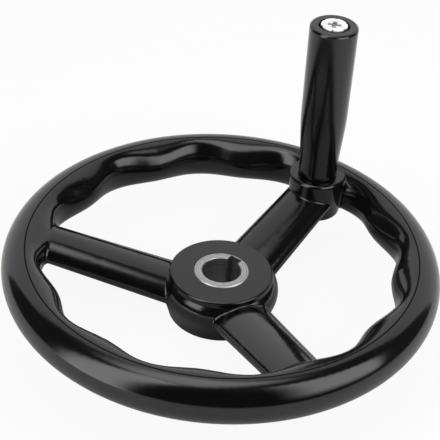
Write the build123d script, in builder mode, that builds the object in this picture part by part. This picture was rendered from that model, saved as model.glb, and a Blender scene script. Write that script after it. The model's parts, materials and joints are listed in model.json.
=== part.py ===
from build123d import *
import os
from math import cos, hypot, radians, sin

os.makedirs("parts", exist_ok=True)

# Dished handwheel, 200 mm across: a one-piece moulded wheel (rim, three spokes, hub and handle
# boss) on a keyed steel hub bush, with a grip that revolves on a shouldered spindle screw.
# Frame: origin on the bore axis at the hub's lower face, +Z up the bore towards the grip,
# +X towards the grip and the keyway. All sizes are in millimetres.

# Rim: round outside, with finger hollows round the inside
rim_diameter = 200.0
rim_thickness = 21.4
rim_mid_height = 26.6
hollows_per_spoke = 4
ridge_reach = 11.5
hollow_reach = 7.1
sections_per_hollow = 6

# Hub: a round-shouldered barrel with a flat face that stands out of it
hub_height = 21.7
hub_face_diameter = 48.0
hub_face_edge_radius = 0.9
hub_face_fillet = 0.5
hub_flank_margin = 2.5
hub_flank_height = 8.6
hub_shoulder_drop = 1.8
hub_shoulder_inset = 1.0
hub_base_diameter = 47.8
hub_base_edge_radius = 0.8

# Spokes: oval bars that climb from the hub to the rim
spoke_count = 3
spoke_root_radius = 14.0
spoke_root_drop = 12.5
spoke_root_width = 28.3
spoke_root_thickness = 13.2
spoke_tip_inset = 12.5
spoke_tip_rise = 1.4
spoke_tip_thickness = 11.9
spoke_hub_fillet = 1.2
spoke_rim_fillet = 2.0

# Hub bush
bush_diameter = 25.4
bush_stand = 0.5
bush_edge_chamfer = 0.4
bore_diameter = 18.0
bore_chamfer = 0.3
keyway_width = 6.0
keyway_depth = 2.8

# Handle boss: a round post, drafted towards its base, that stands out of one spoke and the rim
handle_inset = 22.0
boss_diameter = 27.7
boss_base_diameter = 25.0
boss_side_margin = 2.1
boss_height = 21.6
boss_top_below_crest = 0.4
boss_edge_radius = 1.6
boss_fillet = 0.8

# Threaded insert, moulded into the boss
insert_diameter = 14.0
insert_length = 15.0
insert_depth = 0.3
insert_chamfer = 0.6
thread_diameter = 10.0
thread_length = 12.0
thread_chamfer = 1.0
thread_clearance = 0.02

# Spindle screw
shank_diameter = 9.9
collar_diameter = 14.0
collar_height = 1.5
head_diameter = 12.7
head_height = 5.0
head_edge_chamfer = 0.5
head_notch_count = 6
head_notch_diameter = 1.4
drive_width = 6.4
drive_slot = 1.6
drive_depth = 2.4
drive_taper = 12.0

# Grip
grip_length = 80.8
grip_foot_diameter = 19.0
grip_foot_height = 5.0
grip_waist_diameter = 20.3
grip_waist_height = 17.0
grip_body_diameter = 22.3
grip_body_height = 35.0
grip_end_diameter = 22.8
grip_end_radius = 1.4
grip_foot_radius = 0.5
grip_running_clearance = 0.05
grip_end_play = 0.3
well_clearance = 0.9
collar_clearance = 0.3
head_sink = 0.3

# Places and radii that follow from the sizes
rim_radius = rim_diameter / 2
rim_half = rim_thickness / 2
crest_radius = rim_radius - rim_half
hub_face_radius = hub_face_diameter / 2
spoke_root_height = hub_height - spoke_root_drop
spoke_tip_radius = rim_radius - spoke_tip_inset
spoke_tip_height = rim_mid_height + spoke_tip_rise
spoke_tip_width = boss_diameter - 2 * boss_side_margin
handle_radius = rim_radius - handle_inset
bush_height = hub_height + bush_stand
bush_radius = bush_diameter / 2
bore_radius = bore_diameter / 2
boss_top = rim_mid_height + rim_half - boss_top_below_crest
boss_bottom = boss_top - boss_height
insert_top = boss_top - insert_depth
insert_bottom = insert_top - insert_length
collar_top = boss_top + collar_height
grip_foot = boss_top + grip_end_play
grip_end = grip_foot + grip_length
head_top = grip_end - head_sink
head_seat = head_top - head_height
well_floor = head_seat - grip_end_play
handle_axis = Axis((handle_radius, 0, 0), (0, 0, 1))
spoke_pitch = 360 / spoke_count
hollow_count = hollows_per_spoke * spoke_count
sections_per_span = hollows_per_spoke * sections_per_hollow


def handle_level(height):
    """The level plane at a height, centred on the handle's axis."""
    return Plane(origin=(handle_radius, 0, height), x_dir=(1, 0, 0), z_dir=(0, 0, 1))


def upright_plane(angle, height=0):
    """The upright plane through the bore axis at an angle, its origin at a height on that axis."""
    turn = radians(angle)
    return Plane(
        origin=(0, 0, height),
        x_dir=(cos(turn), sin(turn), 0),
        z_dir=(sin(turn), -cos(turn), 0),
    )


def inner_reach(angle):
    """How far the rim's inner side stands in from its crest line, at an angle from a ridge."""
    middle = (ridge_reach + hollow_reach) / 2
    swing = (ridge_reach - hollow_reach) / 2
    return middle + swing * cos(radians(hollow_count * angle))


def spoke_plane(share):
    """The plane across a spoke at a share of its way from root to tip, square to its slope."""
    run = spoke_tip_radius - spoke_root_radius
    rise = spoke_tip_height - spoke_root_height
    centre = (spoke_root_radius + share * run, 0, spoke_root_height + share * rise)
    return Plane(origin=centre, x_dir=(0, 1, 0), z_dir=(run, 0, rise))


def is_clear_of_boss(edge):
    """Whether an edge's middle is at least a boss's width from the handle's axis."""
    middle = edge @ 0.5
    return hypot(middle.X - handle_radius, middle.Y) > boss_diameter


# One span of the rim, centred on a spoke: a round outer half, and an oval inner half whose
# reach swells into ridges and shrinks into finger hollows
with BuildPart() as rim_span:
    for step in range(sections_per_span + 1):
        angle = (step / sections_per_span - 0.5) * spoke_pitch
        with BuildSketch(upright_plane(angle, rim_mid_height)):
            with BuildLine():
                RadiusArc((crest_radius, rim_half), (crest_radius, -rim_half), rim_half)
                EllipticalCenterArc((crest_radius, 0), inner_reach(angle), rim_half, 90, arc_size=180)
            make_face()
    loft()

# Rim: a span for each spoke
with BuildPart() as rim:
    with PolarLocations(0, spoke_count):
        add(rim_span.part)

# A spoke, from inside the hub to inside the rim
with BuildPart() as spoke:
    with BuildSketch(spoke_plane(0)):
        Ellipse(spoke_root_width / 2, spoke_root_thickness / 2)
    with BuildSketch(spoke_plane(1)):
        Ellipse(spoke_tip_width / 2, spoke_tip_thickness / 2)
    loft()

# Hub barrel: a drafted flank that rounds over to the shoulder, its profile turned from a plane
# midway between two spokes
with BuildPart() as hub_barrel:
    with BuildSketch(upright_plane(spoke_pitch / 2)):
        with BuildLine():
            flank = Line(
                (hub_base_diameter / 2, 0),
                (hub_face_radius + hub_flank_margin, hub_flank_height),
            )
            shoulder = (hub_face_radius - hub_shoulder_inset, hub_height - hub_shoulder_drop)
            TangentArc(flank @ 1, shoulder, tangent=flank % 1)
            Polyline(shoulder, (0, hub_height - hub_shoulder_drop), (0, 0), flank @ 0)
        make_face()
    revolve(axis=Axis.Z)
    fillet(hub_barrel.edges().group_by(Axis.Z)[0], hub_base_edge_radius)

# Hub face: a plug that stands in the barrel
with BuildPart() as hub_face:
    with BuildSketch(upright_plane(spoke_pitch / 2)):
        Rectangle(hub_face_radius, hub_height, align=Align.MIN)
    revolve(axis=Axis.Z)
    fillet(hub_face.edges().group_by(Axis.Z)[-1], hub_face_edge_radius)

# Handle boss
with BuildPart() as boss:
    with BuildSketch(Plane.XZ):
        with BuildLine():
            Polyline(
                (handle_radius, boss_bottom),
                (handle_radius + boss_base_diameter / 2, boss_bottom),
                (handle_radius + boss_diameter / 2, boss_top),
                (handle_radius, boss_top),
                close=True,
            )
        make_face()
    revolve(axis=handle_axis)
    fillet(boss.edges().filter_by(GeomType.CIRCLE), boss_edge_radius)

# Wheel body: the hub, spokes, rim and handle boss in one moulding, cut for the bush and insert.
# The boss swallows the join of its own spoke with the rim, so that join stays sharp.
with BuildPart() as wheel_body:
    add(hub_barrel.part)
    with PolarLocations(0, spoke_count):
        add(spoke.part)
    fillet(wheel_body.edges(Select.NEW), spoke_hub_fillet)
    add(hub_face.part)
    fillet(wheel_body.edges(Select.NEW), hub_face_fillet)
    add(rim.part)
    fillet(wheel_body.edges(Select.NEW).filter_by(is_clear_of_boss), spoke_rim_fillet)
    add(boss.part)
    fillet(wheel_body.edges(Select.NEW), boss_fillet)
    Hole(bush_radius)
    with BuildSketch(handle_level(boss_top)):
        Circle(insert_diameter / 2)
    extrude(amount=insert_bottom - boss_top, mode=Mode.SUBTRACT)
wheel_body.part.label = "wheel_body"

# Hub bush: a steel ring with a keyed bore, flush with the hub below and just proud of it above
with BuildPart() as hub_bush:
    with BuildSketch():
        Circle(bush_radius)
        Circle(bore_radius, mode=Mode.SUBTRACT)
        Rectangle(
            bore_radius + keyway_depth,
            keyway_width,
            align=(Align.MIN, Align.CENTER),
            mode=Mode.SUBTRACT,
        )
    extrude(amount=bush_height)
    rings = hub_bush.edges().filter_by(GeomType.CIRCLE)
    chamfer(rings.filter_by(lambda ring: ring.radius > bore_radius + keyway_depth), bush_edge_chamfer)
    chamfer(rings.filter_by(lambda ring: ring.radius < bore_radius + keyway_depth), bore_chamfer)
hub_bush.part.label = "hub_bush"

# Threaded insert, with a plain hole for the spindle's thread
with BuildPart() as threaded_insert:
    with BuildSketch(handle_level(insert_bottom)):
        Circle(insert_diameter / 2)
        Circle(thread_diameter / 2 + thread_clearance, mode=Mode.SUBTRACT)
    extrude(amount=insert_length)
    chamfer(threaded_insert.edges().group_by(Axis.Z)[-1].sort_by(SortBy.RADIUS)[0], insert_chamfer)
threaded_insert.part.label = "threaded_insert"

# Spindle screw: thread, collar that tightens on the boss, shank and a notched head with a
# cross recess
with BuildPart() as spindle_screw:
    with BuildSketch(handle_level(insert_top - thread_length)):
        Circle(thread_diameter / 2)
    extrude(amount=thread_length + insert_depth)
    chamfer(spindle_screw.edges().sort_by(Axis.Z)[0], thread_chamfer)
    with BuildSketch(handle_level(boss_top)):
        Circle(collar_diameter / 2)
    extrude(amount=collar_height)
    with BuildSketch(handle_level(collar_top)):
        Circle(shank_diameter / 2)
    extrude(amount=head_seat - collar_top)
    with BuildSketch(handle_level(head_seat)):
        Circle(head_diameter / 2)
    extrude(amount=head_height)
    chamfer(spindle_screw.edges().group_by(Axis.Z)[-1], head_edge_chamfer)
    with BuildSketch(handle_level(head_seat)):
        with PolarLocations(head_diameter / 2, head_notch_count):
            Circle(head_notch_diameter / 2)
    extrude(amount=head_height, mode=Mode.SUBTRACT)
    with BuildSketch(handle_level(head_top)):
        Rectangle(drive_width, drive_slot)
        Rectangle(drive_slot, drive_width)
    extrude(amount=-drive_depth, taper=drive_taper, mode=Mode.SUBTRACT)
spindle_screw.part.label = "spindle_screw"

# Grip: a sleeve that swells from a straight foot to a full body, bored for the spindle and
# recessed for its collar and head
with BuildPart() as grip_sleeve:
    with BuildSketch(Plane.XZ):
        with BuildLine():
            foot_x = handle_radius + grip_foot_diameter / 2
            foot = Line((foot_x, grip_foot), (foot_x, grip_foot + grip_foot_height))
            body = Line(
                (handle_radius + grip_body_diameter / 2, grip_foot + grip_body_height),
                (handle_radius + grip_end_diameter / 2, grip_end),
            )
            Spline(
                foot @ 1,
                (handle_radius + grip_waist_diameter / 2, grip_foot + grip_waist_height),
                body @ 0,
                tangents=(foot % 1, body % 0),
            )
            Polyline(body @ 1, (handle_radius, grip_end), (handle_radius, grip_foot), foot @ 0)
        make_face()
    revolve(axis=handle_axis)
    fillet(grip_sleeve.edges().group_by(Axis.Z)[-1], grip_end_radius)
    fillet(grip_sleeve.edges().group_by(Axis.Z)[0], grip_foot_radius)
    with BuildSketch(handle_level(grip_foot)):
        Circle(shank_diameter / 2 + grip_running_clearance)
    extrude(amount=grip_length, mode=Mode.SUBTRACT)
    with BuildSketch(handle_level(grip_foot)):
        Circle(collar_diameter / 2 + collar_clearance)
    extrude(amount=collar_height, mode=Mode.SUBTRACT)
    with BuildSketch(handle_level(well_floor)):
        Circle(head_diameter / 2 + well_clearance)
    extrude(amount=grip_end - well_floor, mode=Mode.SUBTRACT)
grip_sleeve.part.label = "grip_sleeve"

for piece in (wheel_body, hub_bush, threaded_insert, spindle_screw, grip_sleeve):
    export_step(piece.part, f"parts/{piece.part.label}.step")
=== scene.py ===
"""A machine handwheel with a revolving grip, dressed for a plain studio view.

The parts arrive as solids in metres, with the origin on the bore's axis at the hub's lower face,
+Z up the bore and +X towards the grip. The moulding and the hub bush keep their solids and get
their finishes here. The grip, the spindle screw and the threaded insert are turned again with
finer detail, and the rim gets the witness line of its mould.
"""

import json
import logging
import math
from dataclasses import dataclass, field, replace
from enum import Enum
from typing import Any

import bpy
from mathutils import Euler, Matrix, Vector

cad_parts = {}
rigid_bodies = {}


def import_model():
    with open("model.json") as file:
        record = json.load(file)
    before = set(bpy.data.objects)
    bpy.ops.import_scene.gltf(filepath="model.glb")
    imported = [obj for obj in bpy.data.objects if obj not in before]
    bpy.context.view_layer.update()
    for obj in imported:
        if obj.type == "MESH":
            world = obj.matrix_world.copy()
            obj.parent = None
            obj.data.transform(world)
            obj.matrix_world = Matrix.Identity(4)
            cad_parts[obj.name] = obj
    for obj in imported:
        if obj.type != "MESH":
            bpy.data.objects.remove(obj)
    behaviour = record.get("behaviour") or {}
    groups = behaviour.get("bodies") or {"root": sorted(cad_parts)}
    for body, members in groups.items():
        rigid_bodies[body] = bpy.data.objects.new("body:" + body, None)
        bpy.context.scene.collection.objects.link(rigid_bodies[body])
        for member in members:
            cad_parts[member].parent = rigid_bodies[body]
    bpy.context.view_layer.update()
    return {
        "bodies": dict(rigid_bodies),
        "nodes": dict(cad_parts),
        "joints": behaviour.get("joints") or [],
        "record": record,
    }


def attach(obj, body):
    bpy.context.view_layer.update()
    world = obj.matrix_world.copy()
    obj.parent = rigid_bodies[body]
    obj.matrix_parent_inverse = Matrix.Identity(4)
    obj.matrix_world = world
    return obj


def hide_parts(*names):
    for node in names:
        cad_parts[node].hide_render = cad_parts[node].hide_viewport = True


LOG = logging.getLogger("handwheel")
MM = 0.001
SHADER = "Principled BSDF"
NOISE_SPAN = (0.25, 0.75)
NOISE_ROUGHNESS = 0.55
WHITE = (1.0, 1.0, 1.0, 1.0)
SIGNS = {"+": "ADD", "-": "SUBTRACT", "*": "MULTIPLY", "/": "DIVIDE"}

Point = tuple[float, float]
Triple = tuple[float, float, float]
Profile = list[Point]
Socket = bpy.types.NodeSocket


class Body(Enum):
    """The rigid bodies that pieces ride on."""

    WHEEL = "wheel"
    GRIP = "grip"


class Part(Enum):
    """The solids of the source, by node name."""

    MOULDING = "wheel_body"
    BUSH = "hub_bush"
    INSERT = "threaded_insert"
    SPINDLE = "spindle_screw"
    GRIP = "grip_sleeve"


class Slot(Enum):
    """The record's material slots of the pieces made here."""

    WHEEL_PLASTIC = "moulded_plastic"
    GRIP_PLASTIC = "grip_plastic"
    ZINC = "zinc_plated_steel"
    BRASS = "insert_brass"


class Graph:
    """Adds nodes to a tree and joins them, with one call for each.

    Args:
        tree: The node tree to work on.
    """

    def __init__(self, tree: bpy.types.NodeTree) -> None:
        """Keep the tree."""
        self.tree = tree

    def add(self, kind: str, inputs: dict[Any, Any] | None = None, **settings: Any) -> bpy.types.Node:
        """Add a node.

        Args:
            kind: The node's type name.
            inputs: A value or an output socket for each input, by name or number.
            **settings: The node's own properties.

        Returns:
            The new node.
        """
        node = self.tree.nodes.new(kind)
        for name, value in settings.items():
            setattr(node, name, value)
        for name, value in (inputs or {}).items():
            if isinstance(value, Socket):
                self.link(value, node.inputs[name])
            else:
                node.inputs[name].default_value = value
        return node

    def geometry(self, kind: str, inputs: dict[str, Any] | None = None, **settings: Any) -> Socket:
        """Add a Geometry Nodes node, by the end of its type name, and return its first output."""
        return self.add(f"GeometryNode{kind}", inputs, **settings).outputs[0]

    def link(self, output: Socket, target: Socket) -> None:
        """Join an output socket to an input socket."""
        self.tree.links.new(output, target)

    def feed(self, output: Socket, node: str, name: str) -> None:
        """Join an output socket to an input of a node that the tree came with."""
        self.link(output, self.tree.nodes[node].inputs[name])

    def math(self, sign: str, *values: Any, **settings: Any) -> Socket:
        """Add a Math node, by a sign or its operation's name, and return its result."""
        settings["operation"] = SIGNS.get(sign, sign)
        return self.add("ShaderNodeMath", dict(enumerate(values)), **settings).outputs[0]

    def join(self, **parts: Any) -> Socket:
        """Make a vector from its X, Y and Z, 0 where one is left out."""
        return self.add("ShaderNodeCombineXYZ", parts).outputs[0]

    def split(self, vector: Socket) -> Any:
        """Give the X, Y and Z outputs of a vector."""
        return self.add("ShaderNodeSeparateXYZ", {"Vector": vector}).outputs

    def length(self, vector: Socket) -> Socket:
        """Give a vector's length."""
        return self.add("ShaderNodeVectorMath", {0: vector}, operation="LENGTH").outputs["Value"]

    def blend(self, share: Socket, first: Triple, second: Triple) -> Socket:
        """Blend from a first colour to a second by a share, on the node's colour sockets."""
        colours = {0: share, 6: (*first, 1.0), 7: (*second, 1.0)}
        return self.add("ShaderNodeMix", colours, data_type="RGBA").outputs[2]

    def switch_on(self, value: Any, low: float, high: float) -> Socket:
        """Ramp smoothly from 0 at low to 1 at high, or from 1 to 0 where low is the larger.

        Args:
            value: The number or socket that drives the ramp.
            low: Where the ramp gives 0.
            high: Where the ramp gives 1.

        Returns:
            The ramp's output.
        """
        ramp = {"Value": value, "From Min": low, "From Max": high, "To Min": 0.0, "To Max": 1.0}
        node = self.add("ShaderNodeMapRange", ramp, interpolation_type="SMOOTHSTEP")
        return node.outputs["Result"]


class Coat(Graph):
    """The nodes of a finish."""

    def place(self, axis_x: float = 0.0) -> Socket:
        """Give the object's own coordinates, counted from an upright axis that stands at an X."""
        moved = {0: self.add("ShaderNodeTexCoord").outputs["Object"], "Location": (-axis_x, 0.0, 0.0)}
        return self.add("ShaderNodeMapping", moved).outputs["Vector"]

    def noise(self, place: Socket, size: float, detail: float = 2.0) -> Socket:
        """Give a noise from 0 to 1 whose lumps are about a size in metres."""
        values = {"Vector": place, "Scale": 1.0 / size, "Detail": detail, "Roughness": NOISE_ROUGHNESS}
        return self.add("ShaderNodeTexNoise", values).outputs["Fac"]

    def uneven_gloss(self, value: Socket, middle: float, swing: float) -> None:
        """Make the roughness swing about a middle.

        Args:
            value: The noise that drives it.
            middle: The middle.
            swing: How far it swings each way.
        """
        ramp = {"Value": value, "From Min": NOISE_SPAN[0], "From Max": NOISE_SPAN[1]}
        ramp |= {"To Min": middle - swing, "To Max": middle + swing}
        self.feed(self.add("ShaderNodeMapRange", ramp).outputs["Result"], SHADER, "Roughness")

    def raise_skin(self, height: Socket, distance: float) -> None:
        """Bend the normal as if a height raised the surface by up to a distance in metres."""
        values = {"Height": height, "Distance": distance, "Strength": 1.0}
        self.feed(self.add("ShaderNodeBump", values).outputs["Normal"], SHADER, "Normal")


@dataclass(frozen=True)
class Finish:
    """A finish with plain values, and the parent of the detailed ones.

    Args:
        name: The material's name.
        colour: The surface's colour, linear.
        roughness: The middle of the roughness.
        metallic: How metallic it is, 1 for bare metal.
        ior: The index of refraction.
    """

    name: str
    colour: Triple
    roughness: float
    metallic: float = 0.0
    ior: float = 1.5

    def build(self) -> bpy.types.Material:
        """Make the material, its constant values set on the shader's own sockets.

        Returns:
            The new material.
        """
        material = bpy.data.materials.new(self.name)
        material.use_nodes = True
        material.diffuse_color = (*self.colour, 1.0)
        shader = material.node_tree.nodes[SHADER]
        shader.inputs["Base Color"].default_value = (*self.colour, 1.0)
        shader.inputs["Roughness"].default_value = self.roughness
        shader.inputs["Metallic"].default_value = self.metallic
        shader.inputs["IOR"].default_value = self.ior
        self.detail(Coat(material.node_tree))
        return material

    def detail(self, coat: Coat) -> None:
        """Leave the plain finish as it is; the detailed finishes add to it."""


@dataclass(frozen=True)
class MouldedPlastic(Finish):
    """Glossy black plastic, with the faint ripple and uneven gloss of a moulded skin.

    Args:
        axis_x: Where the piece's upright axis stands along X.
        ripple_size: How long the skin's ripples are.
        ripple_height: How deep they are.
        haze_size: How large the duller clouds are.
        haze_detail: How finely they break up.
        gloss_swing: How far the roughness swings about its middle.
    """

    axis_x: float = 0.0
    ripple_size: float = 4.5 * MM
    ripple_height: float = 0.006 * MM
    haze_size: float = 14.0 * MM
    haze_detail: float = 4.0
    gloss_swing: float = 0.03

    def detail(self, coat: Coat) -> None:
        """Drive the roughness by clouds and the normal by the ripple.

        Args:
            coat: The finish's nodes.
        """
        place = coat.place(self.axis_x)
        clouds = coat.noise(place, self.haze_size, self.haze_detail)
        coat.uneven_gloss(clouds, self.roughness, self.gloss_swing)
        coat.raise_skin(coat.noise(place, self.ripple_size), self.ripple_height)


@dataclass(frozen=True)
class Metal(Finish):
    """Metal with a bright top face and painted shade in the hollows and round the edges below it.

    Args:
        face_height: The height of the bright top face, the bush's unless given.
        shade_start: How far below it the painted shade starts.
        shade_kept: The share of the colour that the painted shade leaves.
    """

    metallic: float = 1.0
    face_height: float = 22.2 * MM
    shade_start: float = 0.42 * MM
    shade_kept: float = 0.8

    def paint_shade_by_depth(self, coat: Coat, colour: Socket, height: Socket) -> None:
        """Darken a colour below the top face, as painted shade.

        Args:
            coat: The finish's nodes.
            colour: The colour before the painted shade.
            height: The height at each point.
        """
        # Painted shade: the colour is darkened below the top face, in the hollows and round the edges.
        first = self.face_height - self.shade_start
        sunk = coat.switch_on(height, first, first - self.shade_start)
        kept = coat.math("-", 1.0, coat.math("*", sunk, 1.0 - self.shade_kept))
        scaled = {0: colour, "Scale": kept}
        shaded = coat.add("ShaderNodeVectorMath", scaled, operation="SCALE").outputs["Vector"]
        coat.feed(shaded, SHADER, "Base Color")


@dataclass(frozen=True)
class TurnedMetal(Metal):
    """Bare metal from a lathe: rings round the axis that a tool leaves, uneven in depth and gloss.

    Args:
        axis_x: Where the piece's upright axis stands along X.
        ring_pitch: The rings' pitch across a face.
        ring_depth: How deep they are.
        ring_wave: The share of an even wave in them, on top of noise.
        ring_span: The ring values that give the darkest and the lightest tone.
        tone_swing: How far the metal's colour swings from ring to ring.
        gloss_swing: How far the roughness swings.
        speck_size: How large the dull specks are.
        speck_span: The noise values at which a speck starts and is full.
        noise_detail: How finely the rings and specks break up.
    """

    axis_x: float = 0.0
    ring_pitch: float = 1.1 * MM
    ring_depth: float = 0.003 * MM
    ring_wave: float = 0.3
    ring_span: Point = (0.1, 0.9)
    tone_swing: float = 0.35
    gloss_swing: float = 0.06
    speck_size: float = 0.7 * MM
    speck_span: Point = (0.42, 0.3)
    noise_detail: float = 3.0

    def detail(self, coat: Coat) -> None:
        """Drive colour, roughness and normal by the tool's rings and a scatter of dull specks, with
        painted shade below the top face.

        Args:
            coat: The finish's nodes.
        """
        place = coat.place(self.axis_x)
        x, y, up = coat.split(place)
        across = coat.length(coat.join(X=x, Y=y))
        travel = coat.math("*", coat.math("+", across, up), math.tau / self.ring_pitch)
        wave = coat.math("*", coat.math("SINE", travel), self.ring_wave)
        broken = coat.noise(coat.join(X=across, Y=up), self.ring_pitch, self.noise_detail)
        rings = coat.math("+", broken, wave)
        scatter = coat.noise(place, self.speck_size, self.noise_detail)
        specks = coat.switch_on(scatter, *self.speck_span)
        clean = coat.switch_on(rings, *self.ring_span)
        share = coat.math("-", clean, specks, use_clamp=True)
        dark = tuple(part * (1.0 - self.tone_swing) for part in self.colour)
        light = tuple(min(1.0, part * (1.0 + self.tone_swing)) for part in self.colour)
        # Painted shade darkens the bore and the edges below the top face.
        self.paint_shade_by_depth(coat, coat.blend(share, dark, light), up)
        coat.uneven_gloss(rings, self.roughness, self.gloss_swing)
        coat.raise_skin(rings, self.ring_depth)


@dataclass(frozen=True)
class PlatedMetal(Metal):
    """Bright zinc plate with a slight frost that scatters light, faint clouds and fine grain.

    Args:
        grain_size: How coarse the plate's grain is.
        grain_height: How deep the grain is.
        cloud_size: How large the duller clouds are.
        cloud_tone: The share of the colour that they keep.
        gloss_detail: How finely the gloss breaks up.
        gloss_swing: How far the roughness swings.
    """

    metallic: float = 0.65
    # Where the painted shade starts below the top face, and how much colour it leaves.
    shade_start: float = 0.35 * MM
    shade_kept: float = 0.4
    grain_size: float = 0.25 * MM
    grain_height: float = 0.0008 * MM
    cloud_size: float = 3.0 * MM
    cloud_tone: float = 0.93
    gloss_detail: float = 3.0
    gloss_swing: float = 0.05

    def detail(self, coat: Coat) -> None:
        """Drive the colour by clouds and by painted shade with depth, the roughness by clouds and the
        normal by grain.

        Args:
            coat: The finish's nodes.
        """
        place = coat.place()
        dull = tuple(part * self.cloud_tone for part in self.colour)
        tone = coat.blend(coat.noise(place, self.cloud_size), self.colour, dull)
        # Painted shade darkens the recess, the notches and the side below the head's top face.
        self.paint_shade_by_depth(coat, tone, coat.split(place)["Z"])
        gloss = coat.noise(place, self.cloud_size, self.gloss_detail)
        coat.uneven_gloss(gloss, self.roughness, self.gloss_swing)
        coat.raise_skin(coat.noise(place, self.grain_size), self.grain_height)


class ShapeTree(Graph):
    """A Geometry Nodes tree with named inputs, and the modifier that runs it."""

    source: bpy.types.Node

    def __init__(self, name: str, crease: float = 28.0) -> None:
        """Start the tree with its geometry sockets.

        Args:
            name: The tree's name.
            crease: The edge angle past which an edge stays sharp, in degrees.
        """
        super().__init__(bpy.data.node_groups.new(name, "GeometryNodeTree"))
        self.crease = math.radians(crease)
        self.socket("Geometry", "Geometry", "INPUT")
        self.socket("Geometry", "Geometry", "OUTPUT")

    def socket(self, name: str, kind: str, way: str) -> None:
        """Add a socket of a kind to the tree's inputs or outputs."""
        self.tree.interface.new_socket(name, in_out=way, socket_type=f"NodeSocket{kind}")

    def inputs(self, **names: tuple[str, ...]) -> None:
        """Add the named inputs, the finish's among them, and the node that gives them.

        Args:
            **names: The inputs' names, by socket type.
        """
        for kind, group in {**names, "Material": ("Finish",)}.items():
            for name in group:
                self.socket(name, kind, "INPUT")
        self.source = self.tree.nodes.new("NodeGroupInput")

    def get(self, name: str) -> Socket:
        """Give a named input's socket."""
        return self.source.outputs[name]

    def end(self, shape: Socket) -> None:
        """Shade a shape smooth but for its sharp edges, give it its finish and end the tree.

        Args:
            shape: The shape's socket.
        """
        compared = {0: self.geometry("InputMeshEdgeAngle"), 1: self.crease}
        sharp = self.add("FunctionNodeCompare", compared, operation="GREATER_THAN").outputs[0]
        edges = {"Geometry": shape, "Selection": sharp, "Shade Smooth": False}
        creased = self.geometry("SetShadeSmooth", edges, domain="EDGE")
        real = self.geometry("RealizeInstances", {"Geometry": creased})
        coat = {"Geometry": real, "Material": self.get("Finish")}
        self.add("NodeGroupOutput", {"Geometry": self.geometry("SetMaterial", coat)})

    def run(self, obj: bpy.types.Object, **values: Any) -> None:
        """Put the tree on an object with values for its inputs, and keep the result as a mesh.

        A Boolean puts an empty material slot first, so the finish is set anew.

        Args:
            obj: The object whose mesh feeds the tree, and gets its result.
            **values: The inputs' values, by name.
        """
        modifier = obj.modifiers.new(self.tree.name, "NODES")
        modifier.node_group = self.tree
        for item in self.tree.interface.items_tree:
            if item.in_out == "INPUT" and item.name in values:
                modifier[item.identifier] = values[item.name]
        depsgraph = bpy.context.evaluated_depsgraph_get()
        shaped = obj.evaluated_get(depsgraph)
        mesh = bpy.data.meshes.new_from_object(shaped, depsgraph=depsgraph)
        obj.modifiers.remove(modifier)
        mesh.materials.clear()
        mesh.materials.append(values["Finish"])
        mesh.polygons.foreach_set("material_index", [0] * len(mesh.polygons))
        raw = obj.data
        obj.data = mesh
        mesh.name = obj.name
        bpy.data.meshes.remove(raw)


class TurnedShape(ShapeTree):
    """Turns a profile of radii and heights round an upright axis, cut with a thread or ribs.

    Thread and ribs run out over a short stretch, and points closer than the weld join.
    """

    run_out: float = 0.6 * MM
    weld: float = 0.001 * MM

    def __init__(self) -> None:
        """Build the tree."""
        super().__init__("turned_shape")
        self.inputs(
            Int=("Sides", "Ribs"),
            Float=("AxisX", "ThreadPitch", "ThreadDepth", "RibDepth", "WorkedFrom", "WorkedTo"),
        )
        self.end(self.turned())

    def turned(self) -> Socket:
        """Lay out a grid with a column for each side and a row for each point of the profile.

        Returns:
            The turned shape's socket.
        """
        profile = self.get("Geometry")
        count = self.geometry("AttributeDomainSize", {"Geometry": profile})
        columns = self.math("+", self.get("Sides"), 1)
        size = {"Size X": 1.0, "Size Y": 1.0, "Vertices X": columns, "Vertices Y": count}
        grid = self.geometry("MeshGrid", size)
        index = self.geometry("InputIndex")
        half_on = self.math("+", index, 0.5)
        column = self.math("FLOOR", self.math("/", half_on, count))
        row = self.math("-", index, self.math("*", column, count))
        sampled = {"Geometry": profile, "Value": self.geometry("InputPosition"), "Index": row}
        point = self.geometry("SampleIndex", sampled, data_type="FLOAT_VECTOR")
        width, _, height = self.split(point)
        share = self.math("/", column, self.get("Sides"))
        turn = self.math("*", share, math.tau)
        radius = self.math("-", width, self.cut(share, turn, height))
        along = self.math("*", radius, self.math("COSINE", turn))
        x = self.math("+", along, self.get("AxisX"))
        y = self.math("*", radius, self.math("SINE", turn))
        moved = {"Geometry": grid, "Position": self.join(X=x, Y=y, Z=height)}
        joined = {"Geometry": self.geometry("SetPosition", moved), "Distance": self.weld}
        return self.geometry("MergeByDistance", joined)

    def cut(self, share: Socket, turn: Socket, height: Socket) -> Socket:
        """Work out how deep the thread or the ribs cut at each point.

        Args:
            share: The share of the turn round the axis.
            turn: The same as an angle.
            height: The point's height.

        Returns:
            The depth's socket.
        """
        climb = self.math("-", self.math("/", height, self.get("ThreadPitch")), share)
        flank = self.math("ABSOLUTE", self.math("-", self.math("FRACT", climb), 0.5))
        depth = self.get("ThreadDepth")
        thread = self.math("*", self.math("*", flank, 2.0), depth)
        wave = self.math("COSINE", self.math("*", turn, self.get("Ribs")))
        valley = self.math("*", self.math("-", 1.0, wave), 0.5)
        ribs = self.math("*", valley, self.get("RibDepth"))
        from_start = self.math("-", height, self.get("WorkedFrom"))
        from_end = self.math("-", self.get("WorkedTo"), height)
        near_end = self.math("MINIMUM", from_start, from_end)
        fading = {"Value": near_end, "From Min": 0.0, "From Max": self.run_out}
        fade = self.add("ShaderNodeMapRange", fading).outputs["Result"]
        return self.math("*", self.math("+", thread, ribs), fade)


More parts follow.
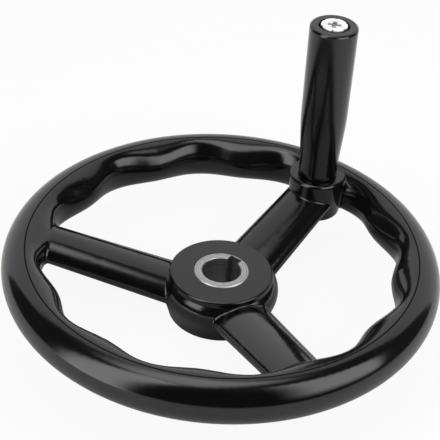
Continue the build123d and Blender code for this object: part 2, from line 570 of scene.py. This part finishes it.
class HeadCuts(ShapeTree):
    """Cuts notches round a screw's head and a tapered cross recess in its top.

    The rods that cut the notches are longer than the head by a spare length.
    """

    rod_sides: int = 24
    rod_spare: float = 1.0 * MM

    def __init__(self) -> None:
        """Build the tree."""
        super().__init__("head_cuts")
        sizes = ("AxisX", "HeadTop", "HeadSeat", "HeadRadius", "NotchRadius", "Turn")
        sizes += ("RecessWidth", "RecessSlot", "RecessDepth", "RecessTaper")
        self.inputs(Int=("Notches",), Float=sizes)
        cut = self.add("GeometryNodeMeshBoolean", operation="DIFFERENCE", solver="EXACT")
        self.link(self.get("Geometry"), cut.inputs["Mesh 1"])
        for cutter in (self.notch_cutters(), self.bar_cutter(0.0), self.bar_cutter(math.pi / 2.0)):
            self.link(cutter, cut.inputs["Mesh 2"])
        self.end(cut.outputs["Mesh"])

    def stand(self, shape: Socket, height: Any, turn: float) -> Socket:
        """Stand a shape on the head's axis.

        Args:
            shape: The shape's socket.
            height: Where its middle stands.
            turn: Its angle round the axis, on top of the head's own.

        Returns:
            The placed shape's socket.
        """
        place = {
            "Geometry": shape,
            "Translation": self.join(X=self.get("AxisX"), Z=height),
            "Rotation": self.join(Z=self.math("+", self.get("Turn"), turn)),
        }
        return self.geometry("Transform", place)

    def notch_cutters(self) -> Socket:
        """Set upright rods round the head's side.

        Returns:
            The rods' socket.
        """
        top, seat = self.get("HeadTop"), self.get("HeadSeat")
        spread = {"Vertices": self.get("Notches"), "Radius": self.get("HeadRadius")}
        ring = self.geometry("MeshCircle", spread)
        middle = self.math("*", self.math("+", top, seat), 0.5)
        length = self.math("+", self.math("-", top, seat), self.rod_spare)
        size = {"Vertices": self.rod_sides, "Radius": self.get("NotchRadius"), "Depth": length}
        rod = self.geometry("MeshCylinder", size)
        spots = {"Points": self.stand(ring, middle, 0.0), "Instance": rod}
        rods = self.geometry("InstanceOnPoints", spots)
        return self.geometry("RealizeInstances", {"Geometry": rods})

    def bar_cutter(self, turn: float) -> Socket:
        """Set a bar of the cross in the head's top, its sides closing in downwards.

        Args:
            turn: The bar's angle round the axis.

        Returns:
            The bar's socket.
        """
        depth = self.math("*", self.get("RecessDepth"), 2.0)
        size = self.join(X=self.get("RecessWidth"), Y=self.get("RecessSlot"), Z=depth)
        bar = self.geometry("MeshCube", {"Size": size})
        x, y, z = self.split(self.geometry("InputPosition"))
        inset = self.math("*", z, self.math("TANGENT", self.get("RecessTaper")))
        shift = self.join(
            X=self.math("*", self.math("SIGN", x), inset),
            Y=self.math("*", self.math("SIGN", y), inset),
        )
        drafted = self.geometry("SetPosition", {"Geometry": bar, "Offset": shift})
        return self.stand(drafted, self.get("HeadTop"), turn)


class RingBead(ShapeTree):
    """Runs a low bead, whose elliptical section has a number of sides, round a level circle."""

    section_sides: int = 12

    def __init__(self) -> None:
        """Build the tree."""
        super().__init__("ring_bead", 180.0)
        self.inputs(Int=("Steps",), Float=("Radius", "Height", "Width", "Rise"))
        path = self.circle(self.get("Radius"), self.get("Steps"))
        lift = {"Geometry": path, "Translation": self.join(Z=self.get("Height"))}
        raised = {"Curve": self.geometry("Transform", lift)}
        level = self.geometry("SetCurveNormal", raised, mode="Z_UP")
        half_width = self.math("*", self.get("Width"), 0.5)
        scale = self.join(X=half_width, Y=self.get("Rise"), Z=1.0)
        squash = {"Geometry": self.circle(1.0, self.section_sides), "Scale": scale}
        sweep = {"Curve": level, "Profile Curve": self.geometry("Transform", squash)}
        self.end(self.geometry("CurveToMesh", sweep))

    def circle(self, radius: Any, steps: Any) -> Socket:
        """Give a circle with a radius and a number of steps, as a curve."""
        sizes = {"Radius": radius, "Resolution": steps}
        return self.geometry("CurvePrimitiveCircle", sizes)


def new_piece(name: str, profile: Profile) -> bpy.types.Object:
    """Make an object at the origin, with a profile's points as its mesh.

    Args:
        name: The object's name.
        profile: Radii and heights in metres, in order.

    Returns:
        The new object, linked to the scene.
    """
    mesh = bpy.data.meshes.new(name)
    points = [(radius, 0.0, height) for radius, height in profile]
    mesh.from_pydata(points, [(i, i + 1) for i in range(len(points) - 1)], [])
    return add_to_scene(name, mesh)


def add_to_scene(name: str, data: bpy.types.ID) -> bpy.types.Object:
    """Link a new object to the scene.

    Args:
        name: The object's name.
        data: Its mesh, lamp or camera data.

    Returns:
        The new object.
    """
    obj = bpy.data.objects.new(name, data)
    bpy.context.scene.collection.objects.link(obj)
    return obj


def arc(centre: Point, radius: float, start: float, end: float, steps: int) -> Profile:
    """Give points along an arc of a profile.

    Args:
        centre: The arc's centre.
        radius: Its radius.
        start: The first point's angle in degrees from outwards.
        end: The last point's angle.
        steps: How many steps it has.

    Returns:
        The points, ends included.
    """
    turns = [math.radians(start + (end - start) * step / steps) for step in range(steps + 1)]
    x, y = centre
    return [(x + radius * math.cos(turn), y + radius * math.sin(turn)) for turn in turns]


def rows(radius: float, low: float, high: float, steps: int) -> Profile:
    """Give points up a straight side, ends included."""
    return [(radius, low + (high - low) * step / steps) for step in range(steps + 1)]


def dress(part: Part, finish: Finish, frame: dict[str, Any]) -> None:
    """Give a solid of the source its finish.

    Args:
        part: The solid.
        finish: Its finish.
        frame: The loaded frame.
    """
    material = finish.build()
    for slot in frame["nodes"][part.value].material_slots:
        slot.material = material
    LOG.info("%s: dressed in %s", part.value, finish.name)


def settle(obj: bpy.types.Object, body: Body, part: Part | None = None) -> None:
    """Put a finished piece on its body, with the solid that it stands for.

    Args:
        obj: The piece.
        body: The body that it rides on.
        part: The solid that it replaces, if it does.
    """
    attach(obj, body.value)
    if part is not None:
        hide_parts(part.value)
    LOG.info("%s: %d faces on %s", obj.name, len(obj.data.polygons), body.value)


@dataclass
class Wheel:
    """The one-piece moulding with its steel bush.

    Args:
        crest_radius: The radius of the rim's crest, where the mould parts.
        crest_height: The crest's height.
        line_width: The witness line's width.
        line_rise: How far the line stands up.
        line_steps: The steps round the line.
        skin: The moulding's finish.
        line: The witness line's finish.
        bush: The bush's finish.
    """

    crest_radius: float = 89.3 * MM
    crest_height: float = 37.3 * MM
    line_width: float = 0.65 * MM
    line_rise: float = 0.03 * MM
    line_steps: int = 720
    skin: Finish = MouldedPlastic("wheel_gloss_black", (0.003, 0.003, 0.003), 0.14)
    line: Finish = MouldedPlastic("mould_line_black", (0.002, 0.002, 0.002), 0.5, ior=1.12)
    # The bush's colour gets painted shade in its bore and round its edges below its face.
    bush: Finish = TurnedMetal("bush_steel", (0.4, 0.4, 0.4), 0.42)

    def build(self, frame: dict[str, Any]) -> None:
        """Dress the moulding and the bush, and lay the witness line.

        Args:
            frame: The loaded frame.
        """
        dress(Part.MOULDING, self.skin, frame)
        dress(Part.BUSH, self.bush, frame)
        self.witness_line()

    def witness_line(self) -> None:
        """Lay the thin line that the mould's joint leaves round the rim's crest."""
        obj = new_piece("rim_witness_line", [(0.0, 0.0)])
        RingBead().run(
            obj,
            Radius=self.crest_radius,
            Height=self.crest_height,
            Width=self.line_width,
            Rise=self.line_rise,
            Steps=self.line_steps,
            Finish=self.line.build(),
        )
        settle(obj, Body.WHEEL)


@dataclass
class Handle:
    """The revolving grip, its spindle screw and the insert that holds the screw.

    Args:
        axis_x: Where the handle's axis stands.
        sides: The sides of the turned shapes.
        boss_top: The height of the boss's top.
        end_play: The grip's play along the spindle.
        grip_length: The grip's length.
        foot: The foot's radius and height.
        waist: The waist's radius, and its height above the foot.
        body: The body's radius, and its height above the foot.
        swell_steps: The steps in each half of the curve between them.
        end_radius: The grip's radius at its end.
        end_edge: The radius of the end's edge.
        foot_edge: The radius of the foot's edge.
        edge_steps: The steps round the foot's and the end's edge.
        bore: The grip's bore radius.
        well: The radius of the end's well.
        collar_well: The radius of the foot's recess.
        mouth_edge: The chamfer at the mouths of both.
        collar: The collar's radius and height.
        collar_edge: The collar's chamfers.
        shank: The shank's radius.
        head: The head's radius and height.
        head_rise: How far the head stands above the grip's end.
        head_chamfer: The rounded chamfer round the head's top.
        chamfer_start: Where its curve starts, in degrees from outwards.
        chamfer_steps: The steps in its curve.
        notches: The number of notches round the head, and their radius.
        recess: The cross recess's width, slot and depth.
        recess_taper: The draft of the cross's sides in degrees.
        head_turn: How far the notches and the cross are turned, in degrees.
        thread: The thread's radius and length.
        thread_pitch: The thread's pitch.
        thread_depth: The thread's depth.
        thread_tip: The chamfer at its tip.
        thread_start: How far above the tip the thread starts.
        thread_steps: The steps up the thread.
        thread_gap: The play between thread and insert.
        insert: The insert's radius and length.
        insert_depth: How far its top lies below the boss's top.
        insert_edge: The chamfer at its mouth.
        ribs: The number of the knurl's ribs, and their depth.
        rib_margin: How far the knurl stays off the insert's ends.
        rib_steps: The steps up the knurl.
        plastic: The grip's finish.
        zinc: The screw's finish.
        brass: The insert's finish.
        turning: The tree that turns the pieces.
    """

    axis_x: float = 78.0 * MM
    sides: int = 216
    boss_top: float = 36.9 * MM
    end_play: float = 0.3 * MM
    grip_length: float = 80.8 * MM
    foot: Point = (9.5 * MM, 5.0 * MM)
    waist: Point = (10.15 * MM, 17.0 * MM)
    body: Point = (11.15 * MM, 35.0 * MM)
    swell_steps: int = 24
    end_radius: float = 11.4 * MM
    end_edge: float = 1.4 * MM
    foot_edge: float = 0.5 * MM
    edge_steps: tuple[int, int] = (6, 12)
    bore: float = 5.0 * MM
    well: float = 7.25 * MM
    collar_well: float = 7.3 * MM
    mouth_edge: float = 0.15 * MM
    collar: Point = (7.0 * MM, 1.5 * MM)
    collar_edge: float = 0.2 * MM
    shank: float = 4.95 * MM
    head: Point = (6.2 * MM, 5.8 * MM)
    head_rise: float = 0.5 * MM
    head_chamfer: float = 0.25 * MM
    chamfer_start: float = 15.0
    chamfer_steps: int = 5
    notches: tuple[int, float] = (6, 0.6 * MM)
    recess: Triple = (6.4 * MM, 2.2 * MM, 1.2 * MM)
    recess_taper: float = 12.0
    head_turn: float = 24.0
    thread: Point = (5.0 * MM, 12.0 * MM)
    thread_pitch: float = 1.5 * MM
    thread_depth: float = 0.9 * MM
    thread_tip: float = 1.0 * MM
    thread_start: float = 0.5 * MM
    thread_steps: int = 88
    thread_gap: float = 0.02 * MM
    insert: Point = (7.0 * MM, 15.0 * MM)
    insert_depth: float = 0.3 * MM
    insert_edge: float = 0.6 * MM
    ribs: tuple[int, float] = (36, 0.35 * MM)
    rib_margin: float = 0.8 * MM
    rib_steps: int = 8
    plastic: Finish = MouldedPlastic("grip_gloss_black", (0.003, 0.003, 0.003), 0.16)
    zinc: Finish = PlatedMetal("bright_zinc", (0.93, 0.93, 0.93), 0.3)
    brass: Finish = TurnedMetal("turned_brass", (0.75, 0.56, 0.28), 0.28)
    turning: TurnedShape = field(default_factory=TurnedShape)

    def build(self) -> None:
        """Turn the grip, the spindle screw and the insert."""
        self.grip()
        self.spindle()
        self.threaded_insert()

    @property
    def grip_foot(self) -> float:
        """The height of the grip's foot."""
        return self.boss_top + self.end_play

    @property
    def grip_end(self) -> float:
        """The height of the grip's end."""
        return self.grip_foot + self.grip_length

    @property
    def head_top(self) -> float:
        """The height of the head's top."""
        return self.grip_end + self.head_rise

    @property
    def head_seat(self) -> float:
        """The height of the head's underside."""
        return self.head_top - self.head[1]

    def turn(self, name: str, profile: Profile, finish: Finish, **cuts: Any) -> bpy.types.Object:
        """Turn a profile into a piece.

        Args:
            name: The piece's name.
            profile: Its radii and heights.
            finish: Its finish.
            **cuts: The thread or ribs to cut.

        Returns:
            The piece.
        """
        obj = new_piece(name, profile)
        values = {"ThreadPitch": self.thread_pitch, "ThreadDepth": 0.0, "Ribs": 1, "RibDepth": 0.0}
        values |= {"Sides": self.sides, "AxisX": self.axis_x, "Finish": finish.build(), **cuts}
        self.turning.run(obj, **values)
        return obj

    def swell(self) -> Profile:
        """Give the grip's side from foot to body: a curve through the waist, smooth at both ends.

        Returns:
            The points, from the foot up.
        """
        low, middle, high = self.foot, self.waist, self.body
        first, second = middle[1] - low[1], high[1] - middle[1]
        end_slope = (self.end_radius - high[0]) / (self.grip_length - high[1])
        lift = (middle[0] - low[0]) / first * second + (high[0] - middle[0]) / second * first
        slope = (3.0 * lift - end_slope * first) / (2.0 * (first + second))
        points = []
        for start, end, slopes in ((low, middle, (0.0, slope)), (middle, high, (slope, end_slope))):
            run = end[1] - start[1]
            for step in range(self.swell_steps + (end is high)):
                t = step / self.swell_steps
                radius = (
                    (2 * t**3 - 3 * t**2 + 1) * start[0]
                    + (t**3 - 2 * t**2 + t) * run * slopes[0]
                    + (3 * t**2 - 2 * t**3) * end[0]
                    + (t**3 - t**2) * run * slopes[1]
                )
                points.append((radius, self.grip_foot + start[1] + t * run))
        return points

    def grip(self) -> None:
        """Turn the grip: its outside from foot to end, then its well, bore and collar recess."""
        foot, end = self.grip_foot, self.grip_end
        floor, ledge = self.head_seat - self.end_play, foot + self.collar[1]
        mouth, low_edge, high_edge = self.mouth_edge, self.foot_edge, self.end_edge
        low_centre = (self.foot[0] - low_edge, foot + low_edge)
        high_centre = (self.end_radius - high_edge, end - high_edge)
        profile = [
            (self.collar_well + mouth, foot),
            *arc(low_centre, low_edge, -90.0, 0.0, self.edge_steps[0]),
            *self.swell(),
            *arc(high_centre, high_edge, 0.0, 90.0, self.edge_steps[1]),
            (self.well + mouth, end),
            (self.well, end - mouth),
            (self.well, floor),
            (self.bore, floor),
            (self.bore, ledge),
            (self.collar_well, ledge),
            (self.collar_well, foot + mouth),
            (self.collar_well + mouth, foot),
        ]
        obj = self.turn("revolving_grip", profile, replace(self.plastic, axis_x=self.axis_x))
        settle(obj, Body.GRIP, Part.GRIP)

    def spindle(self) -> None:
        """Turn the spindle screw with its thread, then cut its head's notches and recess."""
        low = self.boss_top
        start = low - self.insert_depth - self.thread[1]
        radius, tip = self.thread[0], self.thread_tip
        collar, high, edge = self.collar[0], low + self.collar[1], self.collar_edge
        seat, top = self.head_seat, self.head_top
        head, chamfer = self.head[0], self.head_chamfer
        curve = (head - chamfer, top - chamfer)
        profile = [
            (0.0, start),
            (radius - tip, start),
            *rows(radius, start + tip, low, self.thread_steps),
            (collar - edge, low),
            (collar, low + edge),
            (collar, high - edge),
            (collar - edge, high),
            (self.shank, high),
            (self.shank, seat),
            (head, seat),
            (head, top - chamfer),
            *arc(curve, chamfer, self.chamfer_start, 90.0, self.chamfer_steps),
            (0.0, top),
        ]
        obj = self.turn(
            "spindle_with_thread",
            profile,
            # Painted shade darkens the head below its top face.
            replace(self.zinc, face_height=top),
            ThreadDepth=self.thread_depth,
            WorkedFrom=start + self.thread_start,
            WorkedTo=low - self.insert_depth,
        )
        width, slot, depth = self.recess
        sizes = {"AxisX": self.axis_x, "HeadTop": top, "HeadSeat": seat, "HeadRadius": head}
        sizes |= {"Notches": self.notches[0], "NotchRadius": self.notches[1]}
        sizes |= {"RecessWidth": width, "RecessSlot": slot, "RecessDepth": depth}
        taper, head_turn = math.radians(self.recess_taper), math.radians(self.head_turn)
        finish = obj.data.materials[0]
        HeadCuts().run(obj, RecessTaper=taper, Turn=head_turn, Finish=finish, **sizes)
        settle(obj, Body.WHEEL, Part.SPINDLE)

    def threaded_insert(self) -> None:
        """Turn the brass insert, knurled outside and open for the thread."""
        radius, length = self.insert
        top = self.boss_top - self.insert_depth
        low = top - length
        hole, edge = self.thread[0] + self.thread_gap, self.insert_edge
        ribs_low, ribs_high = low + self.rib_margin, top - self.rib_margin
        profile = [
            (hole, low),
            (radius, low),
            *rows(radius, ribs_low, ribs_high, self.rib_steps),
            (radius, top),
            (hole + edge, top),
            (hole, top - edge),
            (hole, low),
        ]
        obj = self.turn(
            "knurled_insert",
            profile,
            replace(self.brass, axis_x=self.axis_x),
            Ribs=self.ribs[0],
            RibDepth=self.ribs[1],
            WorkedFrom=ribs_low,
            WorkedTo=ribs_high,
        )
        settle(obj, Body.WHEEL, Part.INSERT)


def around(heading: float, clockwise: float, lift: float, distance: float) -> Triple:
    """Give a place round the origin.

    Args:
        heading: The heading to count from, in degrees from +X towards +Y.
        clockwise: The bearing from it in degrees, clockwise from above.
        lift: The elevation in degrees.
        distance: The distance from the origin.

    Returns:
        The place.
    """
    turn, rise = math.radians(heading - clockwise), math.radians(lift)
    level = distance * math.cos(rise)
    return (level * math.cos(turn), level * math.sin(turn), distance * math.sin(rise))


@dataclass(frozen=True)
class Lamp:
    """A soft rectangular lamp, placed by bearings from the camera's heading.

    Args:
        name: The lamp's name.
        place: The bearing, elevation and distance of the middle of its face.
        back: The bearing and elevation that its back points to.
        size: Its width and height.
        glow: How bright its face is, where 1 is white.
        fade: How wide the border is over which its face fades out, across and up.
    """

    name: str
    place: Triple
    back: Point
    size: Point
    glow: float
    fade: Point

    def build(self, heading: float) -> None:
        """Hang the lamp, out of the camera's sight.

        Args:
            heading: The camera's heading.
        """
        data = bpy.data.lights.new(self.name, "AREA")
        data.shape = "RECTANGLE"
        data.size, data.size_y = self.size
        data.energy = self.glow * math.pi * self.size[0] * self.size[1]
        self.diffuser(data)
        lamp = add_to_scene(self.name, data)
        lamp.location = around(heading, *self.place)
        backwards = Vector(around(heading, *self.back, 1.0))
        lamp.rotation_euler = (-backwards).to_track_quat("-Z", "Y").to_euler()
        lamp.visible_camera = False
        LOG.info("%s: hung", self.name)

    def diffuser(self, data: bpy.types.AreaLight) -> None:
        """Make the lamp's face fade out towards its border.

        Args:
            data: The lamp's data.
        """
        data.use_nodes = True
        graph = Graph(data.node_tree)
        parts = graph.split(graph.add("ShaderNodeNewGeometry").outputs["Parametric"])
        shares = []
        for axis, (size, fade) in enumerate(zip(self.size, self.fade)):
            off_middle = graph.math("ABSOLUTE", graph.math("-", parts[axis], 0.5))
            shares.append(graph.switch_on(off_middle, 0.5, 0.5 - fade / size))
        graph.feed(graph.math("*", *shares), "Emission", "Strength")


@dataclass(frozen=True)
class View:
    """The camera.

    Args:
        place: Where it stands.
        turns: Its turns about X, Y and Z in degrees.
        sensor: Its sensor's width in millimetres.
        lens: Its focal length in millimetres.
        shift: How far the lens is shifted across and up.
        near: The nearest distance that it sees.
    """

    place: Triple = (-0.408193, -0.277596, 0.410719)
    turns: Triple = (53.9842, -3.5703, -53.9550)
    sensor: float = 36.0
    lens: float = 111.4625
    shift: Point = (-0.04545, -0.00665)
    near: float = 0.01

    def build(self) -> None:
        """Set the camera up."""
        data = bpy.data.cameras.new("camera")
        data.sensor_width = self.sensor
        data.lens = self.lens
        data.shift_x, data.shift_y = self.shift
        data.clip_start = self.near
        camera = add_to_scene("camera", data)
        camera.location = self.place
        camera.rotation_euler = Euler([math.radians(turn) for turn in self.turns])
        bpy.context.scene.camera = camera


@dataclass
class Studio:
    """A white floor and sky, a dark tent that shapes the reflections, lamps and the camera.

    Args:
        heading: The camera's heading in degrees from +X towards +Y.
        floor_size: The floor's width.
        floor_colour: The floor's grey.
        painted_shadow_grey: The floor's grey under the object, a painted shadow.
        painted_shadow_reach: The distances from the origin over which that painted shadow turns into
            the floor's grey.
        camera_lift: How far the floor is lit up to white where the camera sees it.
        mirror_lift: How far it is where the object mirrors it.
        tent_mouth: How far ahead of the object the dark tent opens.
        tent_back: How far behind it the tent's back wall stands.
        tent_half_width: Half the tent's width.
        tent_height: The tent's height.
        tent_colour: The grey of its walls.
        lamps: The lamps.
        view: The camera.
    """

    heading: float = 34.22
    floor_size: float = 8.0
    floor_colour: float = 0.82
    painted_shadow_grey: float = 0.5
    painted_shadow_reach: Point = (0.06, 0.2)
    camera_lift: float = 0.92
    mirror_lift: float = 0.8
    tent_mouth: float = 0.7
    tent_back: float = 1.5
    tent_half_width: float = 1.2
    tent_height: float = 1.3
    tent_colour: float = 0.12
    lamps: tuple[Lamp, ...] = (
        Lamp("strip_light", (-129.0, 52.4, 0.6), (-128.0, 6.5), (0.32, 1.35), 3.8, (0.1, 0.2)),
        Lamp("square_light", (113.0, 37.9, 0.4), (161.0, 23.4), (0.42, 0.42), 3.4, (0.1, 0.1)),
        Lamp("top_light", (-50.0, 83.0, 0.62), (-50.0, 83.0), (0.54, 0.46), 3.0, (0.16, 0.16)),
    )
    view: View = View()

    def build(self) -> None:
        """Set up the floor, sky, tent, lamps and camera."""
        self.floor()
        self.sky()
        self.tent()
        for lamp in self.lamps:
            lamp.build(self.heading)
        self.view.build()
        bpy.context.scene.view_settings.view_transform = "Standard"

    def stage(
        self, name: str, points: list[Triple], faces: list[list[int]], grey: float
    ) -> bpy.types.Object:
        """Make a matt staged surface.

        Args:
            name: Its name.
            points: Its corners.
            faces: Its faces.
            grey: Its grey.

        Returns:
            The surface.
        """
        mesh = bpy.data.meshes.new(name)
        mesh.from_pydata(points, [], faces)
        mesh.materials.append(Finish(name, (grey, grey, grey), 1.0).build())
        obj = add_to_scene(name, mesh)
        return obj

    def floor(self) -> None:
        """Lay the pale floor, lit up to white where it is looked at but with its shadows left, and
        greyed under the object by a painted shadow.
        """
        half = self.floor_size / 2.0
        corners = [(x * half, y * half, 0.0) for x, y in ((-1, -1), (1, -1), (1, 1), (-1, 1))]
        floor = self.stage("floor", corners, [[0, 1, 2, 3]], self.floor_colour)
        graph = Graph(floor.data.materials[0].node_tree)
        matt = graph.tree.nodes[SHADER].outputs[0]
        # Painted shadow: the floor's grey darkens near the origin, under the object, and the lift
        # where it is mirrored stays off there.
        away = graph.length(graph.add("ShaderNodeTexCoord").outputs["Object"])
        open_floor = graph.switch_on(away, *self.painted_shadow_reach)
        tone = graph.blend(open_floor, (self.painted_shadow_grey,) * 3, (self.floor_colour,) * 3)
        graph.feed(tone, SHADER, "Base Color")
        ray = graph.add("ShaderNodeLightPath").outputs
        mirror = graph.math("MAXIMUM", ray["Is Glossy Ray"], ray["Is Transmission Ray"])
        in_open = graph.math("*", mirror, open_floor)
        mirrored = graph.math("*", in_open, self.mirror_lift)
        seen = graph.math("*", ray["Is Camera Ray"], self.camera_lift)
        lift = graph.math("MAXIMUM", seen, mirrored)
        glow = graph.add("ShaderNodeEmission", {"Color": WHITE, "Strength": 1.0}).outputs[0]
        mixed = graph.add("ShaderNodeMixShader", {0: lift, 1: matt, 2: glow}).outputs[0]
        graph.feed(mixed, "Material Output", "Surface")

    def sky(self) -> None:
        """Make the world plain white."""
        world = bpy.data.worlds.new("white_studio")
        world.use_nodes = True
        background = world.node_tree.nodes["Background"]
        background.inputs["Color"].default_value = WHITE
        background.inputs["Strength"].default_value = 1.0
        bpy.context.scene.world = world

    def tent(self) -> None:
        """Pitch a dark tent round the object and the camera, open ahead of it and unseen."""
        turn = math.radians(self.heading)
        ahead, left = (math.cos(turn), math.sin(turn)), (-math.sin(turn), math.cos(turn))
        mouth, back = self.tent_mouth, -self.tent_back
        points = []
        for height in (0.0, self.tent_height):
            for reach, across in ((mouth, 1), (back, 1), (back, -1), (mouth, -1)):
                side = across * self.tent_half_width
                x, y = (ahead[axis] * reach + left[axis] * side for axis in range(2))
                points.append((x, y, height))
        faces = [[0, 1, 5, 4], [1, 2, 6, 5], [2, 3, 7, 6], [4, 5, 6, 7]]
        tent = self.stage("dark_tent", points, faces, self.tent_colour)
        tent.visible_camera = False


def main() -> None:
    """Load the frame, build the pieces in order and set up the studio."""
    logging.basicConfig(level=logging.INFO, format="%(name)s: %(message)s")
    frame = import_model()
    Wheel().build(frame)
    Handle().build()
    Studio().build()


if __name__ == "__main__":
    main()
